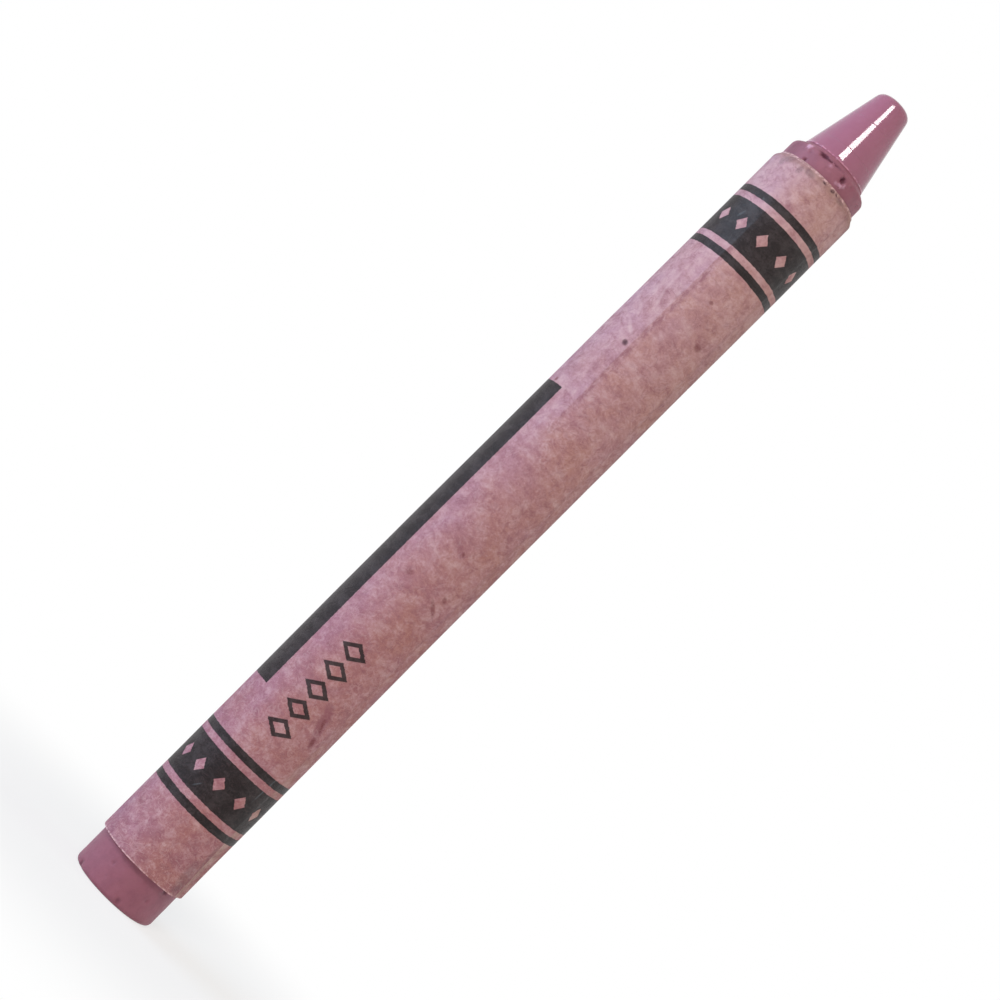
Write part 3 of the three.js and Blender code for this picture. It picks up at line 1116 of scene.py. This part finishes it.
def paper_tone(nodes):
    """How much paler (above 0) or darker (below 0) the paper is, from broad clouds down to its tooth."""
    slanted = nodes.stretched(nodes.plan, (0.7, 1.0, 1.0))
    blotches = nodes.noise(slanted, 0.42, 3.0, 0.6, 0.4)
    mottle = nodes.noise(slanted, 1.3, 3.0, 0.6, 0.5)
    tooth = nodes.noise(nodes.plan, 4.6, 2.0, 0.6)
    tone = nodes.times_plus(blotches, 2.0, -1.02)
    tone = nodes.times_plus(nodes.minus(mottle, 0.5), 3.2, tone)
    return nodes.times_plus(nodes.minus(tooth, 0.5), 1.7, tone)


def end_zones(nodes):
    """Masks near the sheet's ends: soaked stain at each, the crimp and both cut rims."""
    top = LABEL_TOP / MM
    bottom = LABEL_BOTTOM / MM
    near_top = nodes.step(nodes.height, top - 3.0, top - 0.6)
    near_bottom = nodes.step(nodes.height, bottom + 5.5, bottom + 1.5)
    crimp = nodes.step(nodes.height, top - 1.1, top - 0.4)
    rim_top = nodes.step(nodes.height, top - 0.30, top - 0.16)
    rim_bottom = nodes.step(nodes.height, bottom + 0.16, bottom + 0.06)
    return nodes.strongest(near_top, near_bottom), crimp, nodes.strongest(rim_top, rim_bottom)


def bent_along(nodes):
    """The place along the turn, bent to and fro a little with the height."""
    bend = nodes.noise(nodes.joined(y=nodes.height), 0.9, 3.0, 0.6)
    return nodes.plus(nodes.along, nodes.times_plus(bend, 0.7, -0.35))


def crisp_stretch(nodes):
    """The stretch of the sheet on which the border over the inner edge is crisp."""
    return nodes.times(nodes.step(nodes.height, 48.0, 54.0), nodes.step(nodes.height, 75.5, 73.0))


def edge_dirt_and_shadow(nodes, bent):
    """Dark lines where the inner edge shows through and where the outer edge ends: partly dirt, and partly
    painted shadow below the ridge over the inner edge and below the lap's step.
    """
    line = nodes.step(nodes.distance(bent, INNER_EDGE_LINE), 0.50, 0.0)
    broken = nodes.step(nodes.noise(nodes.stretched(nodes.plan, (2.0, 0.8, 1.0)), 1.1, 3.0, 0.6), 0.38, 0.60)
    plain = nodes.times_plus(crisp_stretch(nodes), 0.85, 0.10)
    inner = nodes.times(line, nodes.times(broken, plain))
    by_lap = nodes.step(nodes.along, OUTER_EDGE_LINE - 0.30, OUTER_EDGE_LINE - 0.06)
    low = nodes.times_plus(nodes.step(nodes.height, 12.0, 5.0), 0.6, 0.1)
    return nodes.strongest(inner, nodes.times(by_lap, low))


def stained_and_lit_paper(nodes, label, clouds, bent):
    """Stain soaked into the paper in clouds of rose and lilac, with painted light over it: the upper side of
    the turn above the inner edge is painted lilac for the cool light that falls there, and the paper is
    painted paler towards the tip, where more light falls.
    """
    crisp = nodes.step(bent, INNER_EDGE_LINE + 0.5, INNER_EDGE_LINE - 0.5)
    blurred = nodes.step(bent, INNER_EDGE_LINE + 2.0, INNER_EDGE_LINE - 1.4)
    above_line = nodes.between(crisp_stretch(nodes), blurred, crisp)
    # Painted light: the upper side of the turn is pushed towards lilac for the cool light that falls on it.
    cool_lit_side = nodes.times(above_line, nodes.step(nodes.along, -14.0, -9.0))
    hue = nodes.times_plus(cool_lit_side, 0.45, nodes.times(clouds, 0.55))
    # Painted shade and light: the colour near the butt is painted darker and the colour near the tip paler,
    # for the light that falls off towards the butt.
    soaked = nodes.mix(hue, label.rose_paper, label.lilac_paper)
    clean = nodes.mix(hue, label.lit_tip_rose, label.lit_tip_lilac)
    rise_inputs = {"Value": nodes.height, "From Min": 18.0, "From Max": 78.0}
    rise = nodes.put("ShaderNodeMapRange", rise_inputs).outputs[0]
    base = nodes.mix(nodes.math("POWER", rise, 1.35), soaked, clean)
    past_lap = nodes.step(nodes.along, OUTER_EDGE_LINE - 25.3, OUTER_EDGE_LINE - 26.3)
    low_past_lap = nodes.times(past_lap, nodes.step(nodes.height, 24.0, 10.0))
    return nodes.mix(nodes.times(low_past_lap, 0.8), base, DRY_PAPER)


def matted_paper(nodes, label, paper, tone, bent):
    """Tone, veins, fibres, creases and flecks. Returns the colour and three of the masks."""
    paler = nodes.times(nodes.higher(tone, 0.0), 0.50)
    darker = nodes.times(nodes.math("MINIMUM", tone, 0.0), -0.58)
    toned = nodes.mix(darker, nodes.mix(paler, paper, label.pale_paper), label.stain_color)

    dark_veins = nodes.group("Veins", vector=nodes.plan, size=1.3, width=0.075)
    pale_veins = nodes.group("Veins", vector=nodes.flipped, size=0.75, width=0.09)
    creases = nodes.marks(CREASES)
    dark_fibres = nodes.fibres(nodes.plan, 0.16, 0.60)
    pale_fibres = nodes.fibres(nodes.flipped, 0.13, 0.58)
    flecks = nodes.specks(0.8, 0.10, 0.3)
    dark_fabric = nodes.strongest(nodes.times(dark_veins, 0.36), nodes.times(dark_fibres, 0.26))
    dark_marks = nodes.strongest(
        dark_fabric,
        nodes.times(creases, 0.42),
        nodes.times(flecks, 0.40),
        # Painted shadow, with some dirt: the dark lines below the ridge and along the lap.
        nodes.times(edge_dirt_and_shadow(nodes, bent), 0.72),
    )
    pale_fabric = nodes.strongest(nodes.times(pale_veins, 0.26), nodes.times(pale_fibres, 0.34))
    pale_marks = nodes.strongest(pale_fabric, nodes.times(nodes.marks(PALE_CREASES), 0.42))
    matted = nodes.mix(pale_marks, nodes.mix(dark_marks, toned, label.stain_color), label.pale_paper)
    return matted, dark_fabric, pale_fabric, pale_fibres


def worn_paper(nodes, label, paper, clouds):
    """Wax and dirt picked up in use, most of it at the ends, with a painted highlight on the cut rims and
    painted shade under the tip's rim and along the lap. Returns the colour and the pleats' mask.
    """
    at_ends, crimp, rim = end_zones(nodes)
    smears = nodes.marks(SMEARS)
    scratches = nodes.marks(SCRATCHES)
    spots = nodes.marks(SPOTS)
    soaked = nodes.times(nodes.times(at_ends, nodes.step(clouds, 0.35, 0.9)), 0.16)
    waxy = nodes.strongest(soaked, nodes.times(smears, 0.62))
    marked = nodes.mix(waxy, paper, SMEARED_WAX)
    marked = nodes.mix(nodes.times(scratches, 0.7), marked, SCRATCHED_WAX)
    pleats = nodes.noise(nodes.stretched(nodes.plan, (3.4, 0.7, 1.0)), 1.0, 2.0, 0.6)
    pleated = nodes.times(crimp, nodes.step(pleats, 0.40, 0.66))
    marked = nodes.mix(nodes.times(crimp, 0.45), marked, CRIMPED_PAPER)
    marked = nodes.mix(nodes.times(pleated, 0.34), marked, label.stain_color)
    rim_breaks = nodes.step(nodes.noise(nodes.plan, 3.2, 3.0, 0.6), 0.42, 0.60)
    # Dirt and painted shade: grey marks under the tip's rim and along the lap.
    marked = nodes.mix(nodes.times(nodes.marks(DIRT_AND_SHADE), 0.50), marked, GREY_DIRT)
    # Wear and painted highlight: the cut rims are painted pale, partly rubbed paper and partly the light that
    # the rims catch.
    marked = nodes.mix(nodes.times(rim, rim_breaks), marked, RUBBED_AND_LIT_RIM)
    return nodes.mix(nodes.times(spots, 0.94), marked, DARK_SPOT), pleated


def print_mask(nodes):
    """The print, with edges that follow the tooth of the paper a little."""
    push = nodes.times_plus(nodes.noise(nodes.plan, 3.4, 3.0, 0.6), 0.14, -0.07)
    along = nodes.plus(nodes.along, push)
    height = nodes.plus(nodes.height, push)
    rings = [ring_set(nodes, along, height, centre) for centre in RINGS_CENTRES]
    bars = bar_frame(nodes, along, height)
    return nodes.strongest(*rings, bars, nodes.times(short_row(nodes, along, height), 0.96))


def inked_paper(nodes, label, paper, tone, pale_fibres):
    """Worn ink over the paper, with a painted bluish sheen on the ink of the upper side near the tip. Returns
    the colour and the mask of the ink.
    """
    printed = print_mask(nodes)
    scuffs = nodes.marks(SCUFFS)
    pinholes = nodes.specks(0.42, 0.06, 0.16)
    gone = nodes.strongest(nodes.times(pinholes, 0.16), nodes.times(pale_fibres, 0.06))
    printed = nodes.times(printed, nodes.step(nodes.on_outer, 0.4, 0.6))
    ink = nodes.times(printed, nodes.minus(1.0, gone))

    worn_ink = [1.8 * channel + 0.012 for channel in label.ink_color]
    ink_tone = nodes.mix(nodes.step(tone, -0.5, 0.7), label.ink_color, worn_ink)
    # Painted sheen: the ink is painted bluish where it would reflect the cool light, and the same colour
    # shows the scuffs.
    painted_sheen = nodes.times(nodes.marks(INK_SHEEN), 0.16)
    scuffs_and_sheen = nodes.strongest(nodes.times(scuffs, 0.55), painted_sheen)
    ink_tone = nodes.mix(scuffs_and_sheen, ink_tone, SCUFFED_AND_SHEEN_INK)
    return nodes.mix(ink, paper, ink_tone), ink


def make_label_material(label):
    """Stained, matted and worn paper with its print, and with painted light and shade over it."""
    material, nodes, shader = new_material("printed_paper", SheetNodes)
    clouds = nodes.group("Clouding", vector=nodes.flipped, size=3.2, contrast=2.6)
    bent = bent_along(nodes)
    # The stained paper here also carries painted light: a lilac upper side and a paler tip end.
    stained = stained_and_lit_paper(nodes, label, clouds, bent)
    tone = paper_tone(nodes)
    matted, dark_fabric, pale_fabric, pale_fibres = matted_paper(nodes, label, stained, tone, bent)
    worn, pleated = worn_paper(nodes, label, matted, clouds)
    colour, ink = inked_paper(nodes, label, worn, tone, pale_fibres)
    rough = nodes.between(ink, 0.85, 0.44)
    relief = nodes.times_plus(tone, 0.3, 0.5)
    for mask, lift in ((pale_fabric, 0.8), (dark_fabric, -0.8), (pleated, -0.5)):
        relief = nodes.times_plus(mask, lift, relief)
    nodes.finish(shader, colour, rough, relief, 0.04, 0.6)
    shader.inputs["Specular IOR Level"].default_value = 0.17
    return material


def make_label(wax, label):
    made = make_label_sheet(wax, label)
    made.data.materials.append(make_label_material(label))
    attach(made, BODY)
    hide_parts("label")


# The paste.


def make_paste_material():
    """Cream paste, stained by the wax and flaked with chalk."""
    material, nodes, shader = new_material("dried_paste")
    place = places_in_mm(nodes)[0]
    cloud = nodes.group("Clouding", vector=place, size=1.6, contrast=1.8)
    flakes = nodes.group("Specks", vector=place, spacing=0.7, radius=0.16, share=0.5)
    cream = (0.74, 0.68, 0.58)
    stained = (0.60, 0.40, 0.44)
    chalk = (0.86, 0.83, 0.78)
    colour = nodes.mix(nodes.times(flakes, 0.5), nodes.mix(cloud, cream, stained), chalk)
    nodes.finish(shader, colour, nodes.between(cloud, 0.45, 0.75), flakes, 0.02, 0.6)
    return material


def finish_paste():
    """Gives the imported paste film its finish."""
    material = make_paste_material()
    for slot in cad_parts["paste_film"].material_slots:
        slot.link = "OBJECT"
        slot.material = material


# Bits of wax: crumbs on the collar, and the wax that has worked into the open lap. Crumbs in front are
# given by angle, height and size, in degrees and millimetres.
COLLAR_CRUMBS = (
    (-27.0, 79.62, 0.085),
    (1.5, 79.60, 0.095),
    (13.0, 79.58, 0.08),
    (20.0, 79.95, 0.07),
    (27.0, 80.4, 0.10),
    (-8.0, 80.35, 0.06),
)
UNSEEN_CRUMBS = 16
CRUMB_RINGS = 5
CRUMB_SEGMENTS = 9


def crumb_points(random_source, centre, outward, size):
    """The points of a lumpy crumb, half sunk in what it lies on."""
    upward = Vector((0.0, 0.0, 1.0))
    side = outward.cross(upward).normalized()
    stretch = Vector((random_source.uniform(0.7, 1.5), random_source.uniform(0.7, 1.3), 0.6))
    points = [centre + outward * size * stretch.z]
    for ring in range(1, CRUMB_RINGS):
        polar = math.pi * ring / CRUMB_RINGS
        for segment in range(CRUMB_SEGMENTS):
            turn = 2.0 * math.pi * segment / CRUMB_SEGMENTS
            lump = random_source.uniform(0.78, 1.2)
            offset = side * (math.cos(turn) * math.sin(polar) * stretch.x)
            offset += upward * (math.sin(turn) * math.sin(polar) * stretch.y)
            offset += outward * (math.cos(polar) * stretch.z)
            points.append(centre + offset * size * lump)
    points.append(centre - outward * size * stretch.z)
    return points


def make_crumbs(wax):
    """Crumbs of wax on the collar and along the label's rim, more of them out of sight."""
    random_source = random.Random(17)
    places = list(COLLAR_CRUMBS)
    for index in range(UNSEEN_CRUMBS):
        degrees = 60.0 + 240.0 * (index + random_source.uniform(-0.3, 0.3)) / (UNSEEN_CRUMBS - 1)
        places.append((degrees, random_source.uniform(79.6, 80.7), random_source.uniform(0.04, 0.085)))
    vertices = []
    faces = []
    for degrees, height, size in places:
        centre = on_cylinder(barrel_radius(wax, height * MM), degrees, height * MM)
        start = len(vertices)
        vertices += crumb_points(random_source, centre, on_cylinder(1.0, degrees, 0.0), size * MM)
        for face in skin_faces(CRUMB_RINGS - 1, CRUMB_SEGMENTS):
            faces.append(tuple(start + index for index in face))
    made = new_mesh_object("wax_crumbs", vertices, faces, sharp_degrees=80.0)
    made.data.materials.append(bpy.data.materials["handled_wax"])
    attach(made, BODY)


def make_lap_wax_material():
    """Dark wax with dirt in it."""
    material, nodes, shader = new_material("dirty_wax")
    cloud = nodes.group("Clouding", vector=places_in_mm(nodes)[0], size=0.7, contrast=2.4)
    colour = nodes.mix(cloud, (0.075, 0.045, 0.10), (0.24, 0.15, 0.24))
    nodes.finish(shader, colour, nodes.between(cloud, 0.45, 0.7), cloud, 0.03, 0.8)
    shader.inputs["IOR"].default_value = 1.44
    return material


def make_lap_wax(wax, label):
    """A wedge of dirty wax under the unstuck corner of the outer edge, which thins out up the lap."""
    low = LABEL_BOTTOM + 0.06 * MM
    high = LABEL_BOTTOM + 0.72 * label.loose_length
    heights = steps_between(low, high, 36)
    shares = steps_between(0.0, 1.0, 8)
    outer_edge = label.inner_edge + label.wound_angle
    start = outer_edge - 8.0
    vertices = []
    for along in shares:
        for height in heights:
            under = label_radius(wax, label, label.wound_angle - FULL_TURN, height, 1)
            over = label_radius(wax, label, label.wound_angle - 1.0, height, 0)
            thinning = (1.0 - (height - low) / (high - low)) ** 0.7
            past = (1.0 + 0.8 * ripple(7.0, height, 0.9 * MM, 51.0)) * thinning
            thickness = max(0.012 * MM, over - under - 0.02 * MM)
            degrees = blend_between(start, outer_edge + max(0.2, past), along)
            for out in (under - 0.02 * MM, under + thickness * (1.0 - along**4)):
                vertices.append(on_sheet(out, degrees, height, height))

    patches = slab_patches(len(shares), len(heights))
    made = new_slab_object("lap_wax", vertices, patches, len(heights), 60.0)
    made.data.materials.append(make_lap_wax_material())
    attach(made, BODY)


# The stage. Each lamp has a name, an angle, an elevation, a distance, a size, a power, a colour and the
# height of the axis that it faces: a cool window on the tip's upper side, a small bright one over the
# point, and two soft fills.
LAMPS = (
    ("window_side", -75.0, 8.0, 0.28, (0.22, 0.16), 0.62, (0.54, 0.74, 1.0), 86.0 * MM),
    ("strip_over", -7.2, 39.0, 0.40, (0.115, 0.06), 0.60, (1.0, 0.97, 0.95), 86.0 * MM),
    ("soft_front", -5.0, 8.0, 0.55, (0.40, 0.40), 0.39, (1.0, 0.70, 0.46), 45.0 * MM),
    ("low_right", 100.0, -2.0, 0.45, (0.20, 0.30), 0.74, (0.84, 1.0, 0.96), 45.0 * MM),
)
WHITE = (1.0, 1.0, 1.0, 1.0)
AMBIENT = (1.0, 0.91, 0.82, 1.0)
FLOOR_GREY = (0.95, 0.95, 0.95, 1.0)
FLOOR_RADIUS = 0.9


def camera_matrix(stage):
    """The camera's place: it looks up at the axis and is rolled so that the axis runs to the upper right."""
    pitch = stage.camera_pitch
    forward = Vector((0.0, math.cos(pitch), math.sin(pitch)))
    along = Vector((0.0, -math.sin(pitch), math.cos(pitch)))
    side = Vector((1.0, 0.0, 0.0))
    right = along * math.cos(stage.axis_angle) + side * math.sin(stage.axis_angle)
    up = along * math.sin(stage.axis_angle) - side * math.cos(stage.axis_angle)
    aim = Vector((0.0, 0.0, stage.camera_aim))
    place = aim - forward * stage.camera_distance + side * stage.camera_aside
    return Matrix.Translation(place) @ Matrix((right, up, -forward)).transposed().to_4x4()


def make_camera(stage):
    data = bpy.data.cameras.new("camera")
    data.lens = stage.lens
    data.sensor_width = 36.0
    data.clip_start = 0.01
    data.clip_end = 20.0
    camera = bpy.data.objects.new("camera", data)
    camera.matrix_world = camera_matrix(stage)
    bpy.context.collection.objects.link(camera)
    bpy.context.scene.camera = camera


def make_lamps():
    """Soft rectangular lamps that face the axis."""
    for name, degrees, elevation, distance, size, power, colour, aim in LAMPS:
        data = bpy.data.lights.new(name, "AREA")
        data.shape = "RECTANGLE"
        data.size, data.size_y = size
        data.energy = power
        data.color = colour
        lamp = bpy.data.objects.new(name, data)
        rise = math.radians(elevation)
        place = on_cylinder(distance * math.cos(rise), degrees, aim + distance * math.sin(rise))
        lamp.location = place
        lamp.rotation_euler = (Vector((0.0, 0.0, aim)) - place).to_track_quat("-Z", "Y").to_euler()
        bpy.context.collection.objects.link(lamp)


def seen_directly(nodes):
    """1 where the camera sees a surface, itself or in a gloss or a glass, and 0 for the light it gives."""
    seen = nodes.put("ShaderNodeLightPath").outputs
    return nodes.strongest(seen["Is Camera Ray"], seen["Is Glossy Ray"], seen["Is Transmission Ray"])


def make_world():
    """White where the camera or a reflection sees it, and a soft even light on everything else."""
    world = bpy.data.worlds.new("studio")
    world.use_nodes = True
    world.node_tree.nodes.clear()
    nodes = Nodes(world.node_tree)
    ambient = nodes.put("ShaderNodeBackground", {"Color": AMBIENT, "Strength": 0.27}).outputs[0]
    white = nodes.put("ShaderNodeBackground", {"Color": WHITE, "Strength": 1.0}).outputs[0]
    mixed = nodes.put("ShaderNodeMixShader", {0: seen_directly(nodes), 1: ambient, 2: white}).outputs[0]
    nodes.put("ShaderNodeOutputWorld", {"Surface": mixed})
    bpy.context.scene.world = world


def make_floor_material():
    """White floor, partly matt near the crayon, where it keeps the shadow, and plain white further away."""
    material = bpy.data.materials.new("pale_floor")
    material.use_nodes = True
    material.node_tree.nodes.clear()
    nodes = Nodes(material.node_tree)
    place = nodes.put("ShaderNodeTexCoord").outputs["Object"]
    distance = nodes.put("ShaderNodeVectorMath", {0: place}, operation="LENGTH").outputs["Value"]
    away = nodes.step(distance, 0.010, 0.045)
    share = nodes.times(seen_directly(nodes), nodes.times_plus(away, 0.3, 0.7))
    matt = nodes.put("ShaderNodeBsdfDiffuse", {"Color": FLOOR_GREY}).outputs[0]
    white = nodes.put("ShaderNodeEmission", {"Color": WHITE, "Strength": 1.0}).outputs[0]
    mixed = nodes.put("ShaderNodeMixShader", {0: share, 1: matt, 2: white}).outputs[0]
    nodes.put("ShaderNodeOutputMaterial", {"Surface": mixed})
    return material


def make_floor():
    """A large flat round floor."""
    around = 96
    rim = [on_cylinder(FLOOR_RADIUS, FULL_TURN * step / around, 0.0) for step in range(around)]
    floor = new_mesh_object("floor", rim, [tuple(range(around))])
    floor.data.materials.append(make_floor_material())


# The add-on.


class CRAYON_OT_wax(bpy.types.Operator):
    """Make the cast wax stick and the crumbs on its collar"""

    bl_idname = "crayon.wax"
    bl_label = "Make Wax"

    def execute(self, context):
        make_wax_stick(context.scene.crayon_wax)
        make_crumbs(context.scene.crayon_wax)
        return {"FINISHED"}


class CRAYON_OT_label(bpy.types.Operator):
    """Wind and print the paper label"""

    bl_idname = "crayon.label"
    bl_label = "Make Label"

    def execute(self, context):
        make_label(context.scene.crayon_wax, context.scene.crayon_label)
        make_lap_wax(context.scene.crayon_wax, context.scene.crayon_label)
        return {"FINISHED"}


class CRAYON_OT_paste(bpy.types.Operator):
    """Finish the dried paste under the label"""

    bl_idname = "crayon.paste"
    bl_label = "Finish Paste"

    def execute(self, context):
        finish_paste()
        return {"FINISHED"}


class CRAYON_OT_stage(bpy.types.Operator):
    """Set up the camera, the lamps, the world and the floor"""

    bl_idname = "crayon.stage"
    bl_label = "Make Stage"

    def execute(self, context):
        make_camera(context.scene.crayon_stage)
        make_lamps()
        make_world()
        make_floor()
        context.scene.view_settings.view_transform = "Standard"
        return {"FINISHED"}


SETTINGS = {
    "crayon_wax": CrayonWaxProperties,
    "crayon_label": CrayonLabelProperties,
    "crayon_stage": CrayonStageProperties,
}
OPERATORS = (CRAYON_OT_wax, CRAYON_OT_label, CRAYON_OT_paste, CRAYON_OT_stage)


class CRAYON_PT_panel(bpy.types.Panel):
    """Lists the crayon's pieces and their settings"""

    bl_label = "Wax Crayon"
    bl_idname = "CRAYON_PT_panel"
    bl_space_type = "VIEW_3D"
    bl_region_type = "UI"
    bl_category = "Crayon"

    def draw(self, context):
        for group_name in SETTINGS:
            box = self.layout.box()
            settings = getattr(context.scene, group_name)
            for name in settings.bl_rna.properties.keys():
                if name not in {"rna_type", "name"}:
                    box.prop(settings, name)
        for operator in OPERATORS:
            self.layout.operator(operator.bl_idname)


CLASSES = (*SETTINGS.values(), *OPERATORS, CRAYON_PT_panel)


def register():
    for cls in CLASSES:
        bpy.utils.register_class(cls)
    for name, settings in SETTINGS.items():
        setattr(bpy.types.Scene, name, bpy.props.PointerProperty(type=settings))


def unregister():
    for name in SETTINGS:
        delattr(bpy.types.Scene, name)
    for cls in reversed(CLASSES):
        bpy.utils.unregister_class(cls)


def main():
    register()
    make_shared_groups()
    bpy.ops.crayon.stage()
    bpy.ops.crayon.wax()
    bpy.ops.crayon.label()
    bpy.ops.crayon.paste()


if __name__ == "__main__":
    main()
